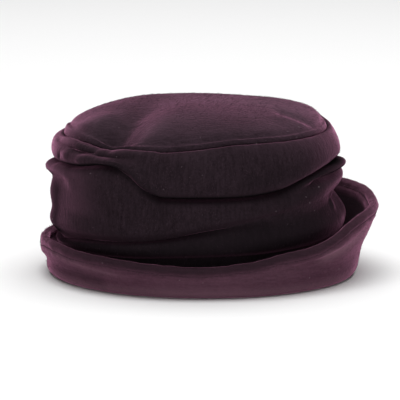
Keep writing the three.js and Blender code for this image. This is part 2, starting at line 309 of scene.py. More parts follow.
@dataclass
class Surface:
    """A closed cloth surface as rings of points, with what its finish reads.

    rings holds the points in millimetres, from ring to ring. lie says where each point lies in the flat
    cloth, wrapped on a circle so that it has no seam. The marks are numbers from 0 to 1 at each point: shows
    is 1 where the nap can be seen, and the other two say where shade and where light are painted on it. A
    surface with two poles is closed over the middle of its first ring and of its last.
    """

    rings: np.ndarray
    lie: np.ndarray
    marks: Marks
    poles: tuple[np.ndarray, ...] = ()

    def mesh(self, name: str) -> bpy.types.Mesh:
        """Builds the mesh, in metres.

        Args:
            name: the mesh's name.

        Returns:
            A closed mesh with smooth faces, whose faces point outwards.
        """
        ring_count, count = self.rings.shape[:2]
        ring = np.arange(ring_count - 1 if self.poles else ring_count)[:, None]
        column = np.arange(count)[None, :]
        nxt, after = (column + 1) % count, (ring + 1) % ring_count
        corners = (ring * count + column, after * count + column, after * count + nxt, ring * count + nxt)
        faces = np.stack(np.broadcast_arrays(*corners), axis=-1).reshape(-1, 4).tolist()
        points = self.rings.reshape(-1, 3)
        lie = self.lie.reshape(-1, 3)
        if self.poles:
            top, bottom = len(points), len(points) + 1
            last = (ring_count - 1) * count
            points = np.concatenate((points, np.stack(self.poles)))
            lie = np.concatenate((lie, np.stack(self.poles)))
            faces += [[i, (i + 1) % count, top] for i in range(count)]
            faces += [[last + (i + 1) % count, last + i, bottom] for i in range(count)]
        mesh = bpy.data.meshes.new(name)
        mesh.from_pydata((points * MILLIMETRE).tolist(), [], faces)
        mesh.update()
        mesh.shade_smooth()
        set_vectors(mesh, "lie", lie * MILLIMETRE)
        for mark, values in self.marks.items():
            at_poles = (values[0, 0], values[-1, 0]) if self.poles else ()
            numbers = np.append(values.ravel(), at_poles)
            mesh.attributes.new(mark, "FLOAT", "POINT").data.foreach_set("value", numbers)
        return mesh


def new_piece(name: str, mesh: bpy.types.Mesh) -> bpy.types.Object:
    """Makes an object of a mesh, at the origin, in the scene."""
    piece = bpy.data.objects.new(name, mesh)
    bpy.context.scene.collection.objects.link(piece)
    return piece


def every(rows: np.ndarray, step: int) -> np.ndarray:
    """Returns every so many rows, from the last one back to the first, which both stay."""
    picked = np.arange(len(rows) - 1, 0, -step)
    return rows[np.append(picked, 0)]


def shell(shown: np.ndarray, hidden: np.ndarray, lie: np.ndarray, marks: Marks, step: int) -> Surface:
    """Closes a cloth's shown face over its hidden face, which has fewer rows.

    Args:
        shown: the rows of the face that is seen.
        hidden: the matching rows of the face behind it.
        lie: where each point lies in the flat cloth.
        marks: the shown face's marks. The hidden face's are 0.
        step: the hidden face keeps one row in this many.

    Returns:
        The surface.
    """
    back = every(hidden, step)
    both = {name: np.concatenate((values, np.zeros(back.shape[:2]))) for name, values in marks.items()}
    return Surface(np.concatenate((shown, back)), np.concatenate((lie, every(lie, step))), both)


def cloth_lie(grid: np.ndarray, azimuths: np.ndarray) -> np.ndarray:
    """Says where each point of a grid lies in the flat cloth, wrapped on a circle round the hat."""
    angle = np.radians(azimuths)[None, :]
    radius = OVAL.mean_radius()
    x, y = radius * np.cos(angle), radius * np.sin(angle)
    return np.stack(np.broadcast_arrays(x, y, run_lengths(grid)), axis=-1)


def azimuth_steps(count: int) -> np.ndarray:
    """Returns evenly spaced azimuths round the hat, in degrees."""
    return np.arange(count) * (FULL_TURN / count)


class NodeGraph:
    """A node tree that is written as Python expressions."""

    def __init__(self, tree: bpy.types.NodeTree) -> None:
        """Starts with an empty tree."""
        self.tree = tree
        tree.nodes.clear()

    def add(self, kind: str, settings: dict | None = None, **sockets: object) -> bpy.types.Node:
        """Adds any node.

        Args:
            kind: the node's type.
            settings: its settings, which are set first.
            **sockets: the value or link of each input, by its name in lower case, or i and its number.

        Returns:
            The node.
        """
        node = self.tree.nodes.new(kind)
        for name, value in (settings or {}).items():
            setattr(node, name, value)
        for name, value in sockets.items():
            self.put(self._input(node, name), value)
        return node

    def _input(self, node: bpy.types.Node, name: str) -> bpy.types.NodeSocket:
        """Finds an input by its name in lower case with underscores, or by i and its number."""
        if name[0] == "i" and name[1:].isdigit():
            return node.inputs[int(name[1:])]
        for socket in node.inputs:
            if socket.enabled and socket.name.lower().replace(" ", "_") == name:
                return socket
        raise KeyError(f"{node.bl_idname} has no input {name}")

    def put(self, socket: bpy.types.NodeSocket, value: object) -> None:
        """Links a value to an input, or sets it there where it is plain."""
        if isinstance(value, Wire):
            self.tree.links.new(value.socket, socket)
        else:
            socket.default_value = value

    def wire(
        self, kind: str, output: str | int = 0, settings: dict | None = None, **sockets: object
    ) -> "Wire":
        """Adds a node and returns one of its outputs, ready for maths."""
        return Wire(self, self.add(kind, settings, **sockets).outputs[output])

    def vector(self, operation: str, **sockets: object) -> "Wire":
        """Adds one Vector Math node."""
        return self.wire("ShaderNodeVectorMath", 0, {"operation": operation}, **sockets)

    def mix(self, share: "Wire", first: object, second: object) -> "Wire":
        """Returns a colour between two colours."""
        node = self.add("ShaderNodeMix", {"data_type": "RGBA"})
        self.put(node.inputs[0], share)
        self.put(node.inputs[6], first)
        self.put(node.inputs[7], second)
        return Wire(self, node.outputs[2])

    def pattern(self, place: "Wire", scale: float, detail: float, roughness: float = 0.5) -> "Wire":
        """Returns a noise pattern, with the middle of its values spread over 0 to 1."""
        plain = self.wire(
            "ShaderNodeTexNoise", 0, vector=place, scale=scale, detail=detail, roughness=roughness
        )
        return plain.between(*NOISE_MIDDLE)


@dataclass(frozen=True)
class Wire:
    """A socket's value, which the usual operators work on by adding Math nodes."""

    graph: NodeGraph
    socket: bpy.types.NodeSocket

    def _maths(self, operation: str, first: object, second: object) -> "Wire":
        """Adds one Math node."""
        return self.graph.wire("ShaderNodeMath", 0, {"operation": operation}, i0=first, i1=second)

    def __add__(self, other: object) -> "Wire":
        """Adds."""
        return self._maths("ADD", self, other)

    def __radd__(self, other: object) -> "Wire":
        """Adds, with the number first."""
        return self._maths("ADD", other, self)

    def __sub__(self, other: object) -> "Wire":
        """Takes away."""
        return self._maths("SUBTRACT", self, other)

    def __rsub__(self, other: object) -> "Wire":
        """Takes away, with the number first."""
        return self._maths("SUBTRACT", other, self)

    def __mul__(self, other: object) -> "Wire":
        """Multiplies."""
        return self._maths("MULTIPLY", self, other)

    def __rmul__(self, other: object) -> "Wire":
        """Multiplies, with the number first."""
        return self._maths("MULTIPLY", other, self)

    def between(self, low: float, high: float) -> "Wire":
        """Spreads the values from low to high over 0 to 1, and cuts off the rest."""
        return self.graph.wire(
            "ShaderNodeMapRange", 0, {"clamp": True}, value=self, from_min=low, from_max=high
        )


Colour = tuple[float, float, float, float]


@dataclass(frozen=True)
class Finish:
    """A named finish. Each kind of finish says what its surface is."""

    name: str

    def surface(self, graph: NodeGraph) -> Wire:
        """Builds the shader and returns its output."""
        raise NotImplementedError

    def material(self) -> bpy.types.Material:
        """Makes the material."""
        material = bpy.data.materials.new(self.name)
        material.use_nodes = True
        graph = NodeGraph(material.node_tree)
        graph.add("ShaderNodeOutputMaterial", surface=self.surface(graph))
        return material


@dataclass(frozen=True)
class Fleece(Finish):
    """Brushed fleece: a soft nap that lies one way, uneven in colour, with a pale sheen at grazing angles.

    tufts and patches are how many lie in a metre of the cloth, and across is the same for its streaks, in
    each direction. The shares say how much streaks, tufts and patches count in the colour. rougher is what
    the patches add to the roughness. Where shade is painted, a dark matt shader with no sheen stands in for
    the shade, and where light is painted, a lighter colour is mixed in as painted light.
    """

    deep: Colour
    pale: Colour
    across: tuple[float, float, float]
    # the colour of painted shade, and the colour of painted light
    painted_shade_colour: Colour = (0.012, 0.009, 0.011, 1.0)
    painted_light_colour: Colour = (0.10, 0.062, 0.083, 1.0)
    tufts: float = 620.0
    patches: float = 34.0
    streak_share: float = 0.4
    tuft_share: float = 0.35
    patch_share: float = 0.25
    roughness: float = 0.88
    rougher: float = 0.12
    sheen: float = 1.0
    sheen_roughness: float = 0.34
    sheen_tint: Colour = (0.92, 0.38, 0.62, 1.0)
    bump: float = 0.35
    pile: float = 0.6

    def surface(self, graph: NodeGraph) -> Wire:
        """Mixes the open nap with a dark matt shader as painted shade, and a lighter colour into it as
        painted light.
        """
        lie = graph.wire("ShaderNodeAttribute", "Vector", {"attribute_name": "lie"})
        tuck = graph.wire("ShaderNodeAttribute", "Fac", {"attribute_name": "tuck"})
        worn = graph.wire("ShaderNodeAttribute", "Fac", {"attribute_name": "worn"})
        brushed = graph.wire("ShaderNodeMapping", 0, vector=lie, scale=self.across)
        streak = graph.pattern(brushed, scale=1.0, detail=3.0, roughness=0.6)
        tuft = graph.pattern(lie, scale=self.tufts, detail=3.0, roughness=0.65)
        patch = graph.pattern(lie, scale=self.patches, detail=2.0)
        tone = streak * self.streak_share + tuft * self.tuft_share + patch * self.patch_share
        # painted light: a lighter colour mixed in where light is painted
        colour = graph.mix(worn, graph.mix(tone, self.deep, self.pale), self.painted_light_colour)
        pile = streak * 0.5 + tuft * 0.5
        depth = self.pile * MILLIMETRE
        bump = graph.wire("ShaderNodeBump", 0, height=pile, strength=self.bump, distance=depth)
        open_nap = graph.wire(
            "ShaderNodeBsdfPrincipled", 0,
            base_color=colour, roughness=self.roughness + self.rougher * patch, normal=bump,
            specular_ior_level=0.0, sheen_weight=self.sheen, sheen_roughness=self.sheen_roughness,
            sheen_tint=self.sheen_tint,
        )
        # painted shade: a dark matt shader, without sheen, where shade is painted
        painted_shade_shader = graph.wire(
            "ShaderNodeBsdfPrincipled", 0,
            base_color=self.painted_shade_colour, roughness=1.0, normal=bump, specular_ior_level=0.0,
        )
        return graph.wire("ShaderNodeMixShader", 0, i0=tuck, i1=open_nap, i2=painted_shade_shader)


@dataclass(frozen=True)
class PlainFloor(Finish):
    """The pale, matt floor."""

    name: str = "pale_floor"
    colour: Colour = (0.93, 0.93, 0.93, 1.0)

    def surface(self, graph: NodeGraph) -> Wire:
        """Returns a plain, matt shader."""
        return graph.wire(
            "ShaderNodeBsdfPrincipled", 0, base_color=self.colour, roughness=0.9, specular_ior_level=0.1
        )


@dataclass(frozen=True)
class Fibre(Finish):
    """Thread, loose nap and lint: matt fibre, uneven in colour. spots is how many spots lie in a metre."""

    deep: Colour
    pale: Colour
    spots: float
    roughness: float
    rougher: float = 0.2

    def surface(self, graph: NodeGraph) -> Wire:
        """Spots the fibre with its two colours."""
        spot = graph.pattern(graph.wire("ShaderNodeTexCoord", "Object"), scale=self.spots, detail=2.0)
        return graph.wire(
            "ShaderNodeBsdfPrincipled", 0,
            base_color=graph.mix(spot, self.deep, self.pale), roughness=self.roughness + self.rougher * spot,
            specular_ior_level=0.1,
        )


SOCKET_KINDS = {int: "NodeSocketInt", float: "NodeSocketFloat", tuple: "NodeSocketVector"}


class ShapeTree:
    """A Geometry Nodes tree whose sizes are named inputs."""

    def __init__(self, name: str, sizes: dict[str, int | float | tuple]) -> None:
        """Starts a tree that takes a source shape and the sizes.

        Args:
            name: the tree's name.
            sizes: each input's name and value.
        """
        self.sizes = sizes
        self.tree = bpy.data.node_groups.new(name, "GeometryNodeTree")
        self.graph = NodeGraph(self.tree)
        self.tree.interface.new_socket("Source", in_out="INPUT", socket_type="NodeSocketGeometry")
        for label, value in sizes.items():
            self.tree.interface.new_socket(label, in_out="INPUT", socket_type=SOCKET_KINDS[type(value)])
        self.tree.interface.new_socket("Result", in_out="OUTPUT", socket_type="NodeSocketGeometry")
        self.given = self.graph.add("NodeGroupInput")

    def read(self, label: str) -> Wire:
        """Returns one of the tree's inputs."""
        return Wire(self.graph, self.given.outputs[label])

    def attribute(self, name: str, kind: str = "FLOAT") -> Wire:
        """Returns an attribute of the source shape."""
        return self.graph.wire("GeometryNodeInputNamedAttribute", 0, {"data_type": kind}, name=name)

    def finish(self, shape: Wire, material: bpy.types.Material) -> None:
        """Ends the tree with real copies in one material."""
        real = self.graph.wire("GeometryNodeRealizeInstances", 0, geometry=shape)
        dressed = self.graph.wire("GeometryNodeSetMaterial", 0, geometry=real, material=material)
        self.graph.add("NodeGroupOutput", result=dressed)

    def bake(self, name: str, source: bpy.types.Mesh) -> bpy.types.Object:
        """Runs the tree on a source mesh and keeps the result as a plain piece.

        Args:
            name: the piece's name.
            source: the mesh that the tree starts from.

        Returns:
            The piece.
        """
        carrier = new_piece(f"{name}_source", source)
        modifier = carrier.modifiers.new("shape", "NODES")
        modifier.node_group = self.tree
        for item in self.tree.interface.items_tree:
            if item.name in self.sizes:
                modifier[item.identifier] = self.sizes[item.name]
        evaluated = carrier.evaluated_get(bpy.context.evaluated_depsgraph_get())
        mesh = bpy.data.meshes.new_from_object(evaluated)
        carrier.modifiers.remove(modifier)
        bpy.data.objects.remove(carrier)
        finish = [material for material in mesh.materials if material is not None][-1]
        mesh.materials.clear()
        mesh.materials.append(finish)
        mesh.polygons.foreach_set("material_index", np.zeros(len(mesh.polygons), dtype=np.int32))
        return new_piece(name, mesh)


@dataclass(frozen=True)
class Nap:
    """Loose fibres strewn over a cloth, brushed one way.

    Sizes are metres, and the density is for a square metre. stand is how far they rise from the cloth, and
    scatter is how far they stray from the brushed way. Their scale runs from shortest to longest.
    """

    density: float
    brush: tuple[float, float, float]
    seed: int
    length: float = 0.0015
    radius: float = 0.00007
    stand: float = 0.45
    scatter: float = 0.55
    shortest: float = 0.5
    longest: float = 1.25
    sides: int = 3

    def build(self, name: str, cloth: bpy.types.Object, fibre: bpy.types.Material) -> bpy.types.Object:
        """Strews the fibres where the cloth shows.

        Args:
            name: the piece's name.
            cloth: the dressed cloth.
            fibre: their material.

        Returns:
            The fibres as one piece.
        """
        sizes = {
            "Density": self.density, "Length": self.length, "Radius": self.radius, "Brush": self.brush,
            "Stand": self.stand, "Scatter": self.scatter, "Seed": self.seed,
        }
        shape = ShapeTree(name, sizes)
        graph = shape.graph
        # no loose fibres where shade is painted on the cloth
        density = shape.read("Density") * shape.attribute("shows") * (1.0 - shape.attribute("tuck"))
        spread = graph.add(
            "GeometryNodeDistributePointsOnFaces", {"distribute_method": "RANDOM"},
            mesh=shape.read("Source"), density=density, seed=shape.read("Seed"),
        )
        stray = graph.wire(
            "FunctionNodeRandomValue", 0, {"data_type": "FLOAT_VECTOR"},
            min=(-1.0, -1.0, -1.0), max=(1.0, 1.0, 1.0), seed=shape.read("Seed"),
        )
        rise = graph.vector("SCALE", i0=Wire(graph, spread.outputs["Normal"]), i3=shape.read("Stand"))
        strayed = graph.vector("SCALE", i0=stray, i3=shape.read("Scatter"))
        way = graph.vector("ADD", i0=graph.vector("ADD", i0=rise, i1=shape.read("Brush")), i1=strayed)
        size = graph.wire(
            "FunctionNodeRandomValue", 1, {"data_type": "FLOAT"},
            min=self.shortest, max=self.longest, seed=shape.read("Seed") + 1.0,
        )
        fibre_shape = graph.wire(
            "GeometryNodeMeshCone", 0, {"fill_type": "NGON"}, vertices=self.sides, side_segments=1,
            radius_top=0.0, radius_bottom=shape.read("Radius"), depth=shape.read("Length"),
        )
        turned = graph.wire("FunctionNodeAlignRotationToVector", 0, {"axis": "Z"}, vector=way)
        strewn = graph.wire(
            "GeometryNodeInstanceOnPoints", 0, points=Wire(graph, spread.outputs["Points"]),
            instance=fibre_shape, rotation=turned, scale=size,
        )
        shape.finish(strewn, fibre)
        return shape.bake(name, cloth.data)


@dataclass(frozen=True)
class StitchRow:
    """A row of machine stitches along a groove. Sizes are metres.

    thread is the thread's radius, bow is how far a stitch's ends dip below its middle, and raised is how
    far the row lies above the groove's bottom.
    """

    length: float = 0.0027
    spacing: float = 0.0036
    thread: float = 0.00032
    bow: float = 0.00035
    raised: float = 0.0002
    steps: int = 5
    sides: int = 6

    def build(
        self, name: str, path: np.ndarray, way: np.ndarray, thread: bpy.types.Material
    ) -> bpy.types.Object:
        """Sews the row.

        Args:
            name: the piece's name.
            path: the points of the groove in millimetres, once round.
            way: the way out of the cloth at each point.
            thread: the thread's material.

        Returns:
            The stitches as one piece.
        """
        count = len(path)
        source = bpy.data.meshes.new(f"{name}_path")
        points = path * MILLIMETRE + way * self.raised
        source.from_pydata(points.tolist(), [(i, (i + 1) % count) for i in range(count)], [])
        set_vectors(source, "way", way)
        sizes = {"Length": self.length, "Spacing": self.spacing, "Thread": self.thread, "Bow": self.bow}
        shape = ShapeTree(name, sizes)
        graph = shape.graph
        half, bow = shape.read("Length") * 0.5, shape.read("Bow")
        stitch = graph.wire(
            "GeometryNodeCurveQuadraticBezier", 0, resolution=self.steps,
            start=graph.wire("ShaderNodeCombineXYZ", 0, x=-1.0 * half, z=-1.0 * bow),
            middle=graph.wire("ShaderNodeCombineXYZ", 0, z=bow),
            end=graph.wire("ShaderNodeCombineXYZ", 0, x=half, z=-1.0 * bow),
        )
        section = graph.wire(
            "GeometryNodeCurvePrimitiveCircle", 0, resolution=self.sides, radius=shape.read("Thread")
        )
        solid = graph.wire("GeometryNodeCurveToMesh", 0, curve=stitch, profile_curve=section, fill_caps=True)
        groove = graph.wire("GeometryNodeMeshToCurve", 0, mesh=shape.read("Source"))
        places = graph.wire(
            "GeometryNodeResampleCurve", 0, {"mode": "LENGTH"}, curve=groove, length=shape.read("Spacing")
        )
        tangent = graph.wire("GeometryNodeInputTangent")
        along = graph.wire("FunctionNodeAlignRotationToVector", 0, {"axis": "X"}, vector=tangent)
        turned = graph.wire(
            "FunctionNodeAlignRotationToVector", 0, {"axis": "Z", "pivot_axis": "X"},
            rotation=along, vector=shape.attribute("way", "FLOAT_VECTOR"),
        )
        row = graph.wire("GeometryNodeInstanceOnPoints", 0, points=places, instance=solid, rotation=turned)
        shape.finish(row, thread)
        return shape.bake(name, source)


STITCHES = StitchRow()


BAND_LINES: Lines = {
    "seam": (
        Row(0, -4.6, 109.8), Row(18, -5.7, 113), Row(60, -6.2, 112), Row(120, -5.7, 110),
        Row(165, -4.2, 105.2), Row(180, -2.9, 105.2), Row(197, -4.2, 104.8), Row(212, -5.7, 105.2),
        Row(222, -7.7, 103), Row(228, -8.7, 101.4), Row(240, -6.7, 103.6), Row(256, -5.7, 104),
        Row(270, -5.7, 106.2), Row(289, -5.7, 109.4), Row(315, -5.7, 109), Row(345, -5.2, 109.4),
    ),
    "shoulder": (
        Row(0, -1.4, 107.2), Row(18, -1.6, 110), Row(60, -1.5, 109.2), Row(120, -1.5, 107.4),
        Row(165, -1, 103), Row(180, -0.6, 102.8), Row(212, 0.2, 102.6), Row(228, -2, 99.6),
        Row(240, -1, 101.4), Row(256, -1.6, 101.8), Row(270, -1.5, 103.8), Row(289, -1.5, 106.8),
        Row(315, -1.5, 106.8),
    ),
    "tier_1_top": (
        Row(0, 2.4, 100), Row(45, 3, 102.4), Row(90, 3, 102.4), Row(180, 3.2, 100.6), Row(205, 3.2, 99.4),
        Row(228, -0.6, 97), Row(240, 0.2, 98), Row(256, 2.4, 97), Row(270, 2.8, 98.6), Row(315, 2.8, 101.4),
    ),
    "tier_1": (
        Row(0, 3.8, 93.4), Row(45, 5, 93), Row(90, 5.5, 92), Row(135, 5, 92.4), Row(180, 4.9, 95),
        Row(212, 5.6, 95.4), Row(230, 3.4, 96), Row(243, 4, 94), Row(256, 5.5, 88), Row(280, 6, 88),
        Row(315, 5.5, 91),
    ),
    "tier_1_foot": (
        Row(0, 2.6, 89.2), Row(45, 4.5, 84.5), Row(90, 5, 83), Row(135, 4.5, 84.6), Row(180, 3.4, 88.6),
        Row(212, 4.5, 91.4), Row(230, 4.6, 95.2), Row(236, 4.8, 95), Row(242, 5.2, 91.6), Row(249, 6, 82),
        Row(257, 6.3, 76.4), Row(285, 6, 76.2), Row(305, 5, 78.6), Row(320, 4.4, 84.6), Row(332, 3.6, 88.6),
        Row(345, 3, 90.4),
    ),
    "crease_a": (
        Row(0, -3.5, 86), Row(45, -3, 80.5), Row(90, -3.5, 78.5), Row(135, -3.5, 80.6), Row(180, -3.5, 85),
        Row(212, -3.5, 87.4), Row(230, -3.5, 91.6), Row(236, -0.6, 91.2), Row(242, 1.8, 87),
        Row(249, 0.4, 76.8), Row(257, -3.5, 71), Row(287, -3.5, 70.8), Row(304, -3.5, 73),
        Row(312, -3, 76.6), Row(320, -2.4, 80.6), Row(332, -1.6, 84.8), Row(345, -2.6, 87),
    ),
    "shelf": (
        Row(0, 8.6, 82.8), Row(20, 7, 79.4), Row(45, 5, 76), Row(90, 5, 74), Row(135, 5.5, 76.4),
        Row(165, 8, 80), Row(180, 9.6, 80.2), Row(196, 7.2, 81.6), Row(212, 5, 84), Row(230, 4.2, 87.6),
        Row(240, 3.4, 84), Row(249, 2.8, 72.6), Row(257, 4, 67.6), Row(287, 4.5, 67.6), Row(304, 2, 70.8),
        Row(312, 2, 74.6), Row(320, 3.4, 79), Row(332, 5.4, 82.6), Row(345, 7.2, 83.2),
    ),
    "under_shelf": (
        Row(0, 4.8, 78.8), Row(20, 4.6, 74.2), Row(90, 5.8, 68), Row(165, 5.4, 73.4), Row(180, 4.8, 73.4),
        Row(196, 5, 75.4), Row(212, 5.4, 78), Row(230, 4.8, 81), Row(243, 3, 74.4), Row(257, 5.2, 63),
        Row(287, 5.8, 63.2), Row(300, 5.4, 66.4), Row(312, 4.2, 71), Row(320, 2, 74.8), Row(328, -0.8, 77.8),
        Row(336, -1.2, 78.2), Row(346, 1.4, 78.6),
    ),
    "tier_2_top": (
        Row(0, 6.2, 75), Row(20, 5.6, 69.4), Row(90, 6.5, 61), Row(165, 6.6, 61), Row(180, 6.5, 61.8),
        Row(212, 6.6, 66), Row(235, 5.2, 67), Row(257, 6, 58.8), Row(287, 6.5, 60.2), Row(304, 6, 62.6),
        Row(320, 5.6, 69.4), Row(332, 5.6, 72.6), Row(345, 6, 74.4),
    ),
    "tier_2": (
        Row(0, 5.4, 71), Row(20, 3.8, 66), Row(90, 5.5, 56), Row(160, 5.2, 48), Row(180, 5, 49.4),
        Row(212, 6, 54), Row(235, 6.2, 54), Row(257, 6, 52.6), Row(287, 5.5, 56.8), Row(315, 5, 63.4),
        Row(330, 4.8, 67.4), Row(343, 4.8, 70.5),
    ),
    "tier_2_foot": (
        Row(0, 2.2, 66.8), Row(20, 1, 62.6), Row(90, 4, 51.5), Row(155, 6, 37.6), Row(180, 6.6, 39.4),
        Row(212, 6.2, 42), Row(235, 5.2, 43.6), Row(257, 4.6, 46.6), Row(272, 4, 51.2), Row(287, 3.6, 55),
        Row(300, 3.4, 58), Row(315, 3.6, 59.6), Row(328, 3.4, 62.5), Row(340, 2.4, 66), Row(350, 2.2, 66.8),
    ),
    "crease_b": (
        Row(0, -1.2, 61.8), Row(20, -2.4, 58.4), Row(90, -2.5, 46), Row(155, -1.5, 30.4),
        Row(180, -1.5, 29.4), Row(196, -1.5, 29), Row(212, -1.8, 33), Row(221, -1.9, 34.8),
        Row(236, -2, 36.2), Row(249, -2, 38), Row(260, -2, 41.4), Row(269, -1.4, 45.4), Row(285, 0.6, 50.4),
        Row(297, 2, 53), Row(312, 3, 54.4), Row(328, 2.6, 56), Row(336, 1.8, 58.5), Row(342, 0.2, 61),
        Row(350, -1, 62),
    ),
    "tier_3_top": (
        Row(0, 2.8, 55.6), Row(20, 3.6, 52.4), Row(90, 3.6, 41.6), Row(155, 2.6, 28), Row(185, 1.8, 26.8),
        Row(212, 2.4, 30), Row(236, 3, 33), Row(260, 3.4, 38.4), Row(285, 3.6, 45.4), Row(315, 4.4, 49),
        Row(332, 4.8, 51), Row(341, 4, 53.5), Row(350, 3, 55.2),
    ),
    "tier_3": (
        Row(0, 8.4, 45.5), Row(20, 7.4, 42), Row(90, 4.4, 34.6), Row(155, 2.4, 25.2), Row(185, 1.6, 24.4),
        Row(212, 2.2, 27), Row(236, 3, 30), Row(260, 4.2, 34.4), Row(285, 5, 38.4), Row(315, 6.2, 40),
        Row(330, 7.2, 42), Row(346, 8.2, 44.6),
    ),
    "tier_3_foot": (
        Row(0, 6.2, 35.4), Row(20, 5.2, 33), Row(90, 2.6, 28), Row(155, 0.6, 22.4), Row(185, -0.2, 22),
        Row(212, 0.4, 24.4), Row(236, 1.4, 27.4), Row(260, 2.6, 30.8), Row(285, 3, 32.4),
        Row(315, 3.8, 33.2), Row(340, 5.6, 34.6),
    ),
    "crease_c": (
        Row(0, -2, 29.6), Row(90, -2.4, 25), Row(155, -2.8, 20.4), Row(185, -3, 20), Row(212, -2.8, 22),
        Row(236, -2.6, 25), Row(285, -2.4, 28), Row(330, -2.2, 29.4),
    ),
    "foot": (
        Row(0, -2.4, 21.4), Row(90, -2.8, 20), Row(185, -3, 17.2), Row(236, -2.8, 19.2),
        Row(285, -2.6, 20.4),
    ),
    "joint": (Row(0, -3, 15), Row(180, -3, 15)),
}


def band_line(line: str, column: str, azimuths: np.ndarray) -> np.ndarray:
    """Reads one of the band's fold lines at any azimuth."""
    return around(BAND_LINES[line], column, azimuths)


class Crease(NamedTuple):
    """A crease between two lips of the band, the painted shade in it, and whether that is lighter at the lit
    end.
    """

    upper: str
    line: str
    lower: str
    crease_shade: float
    lighter_at_lit_end: bool


# how much shade is painted in each crease
CREASES = (
    Crease("tier_1_foot", "crease_a", "shelf", 0.9, False),
    Crease("tier_2_foot", "crease_b", "tier_3_top", 0.9, True),
    Crease("tier_3_foot", "crease_c", "foot", 0.3, False),
)


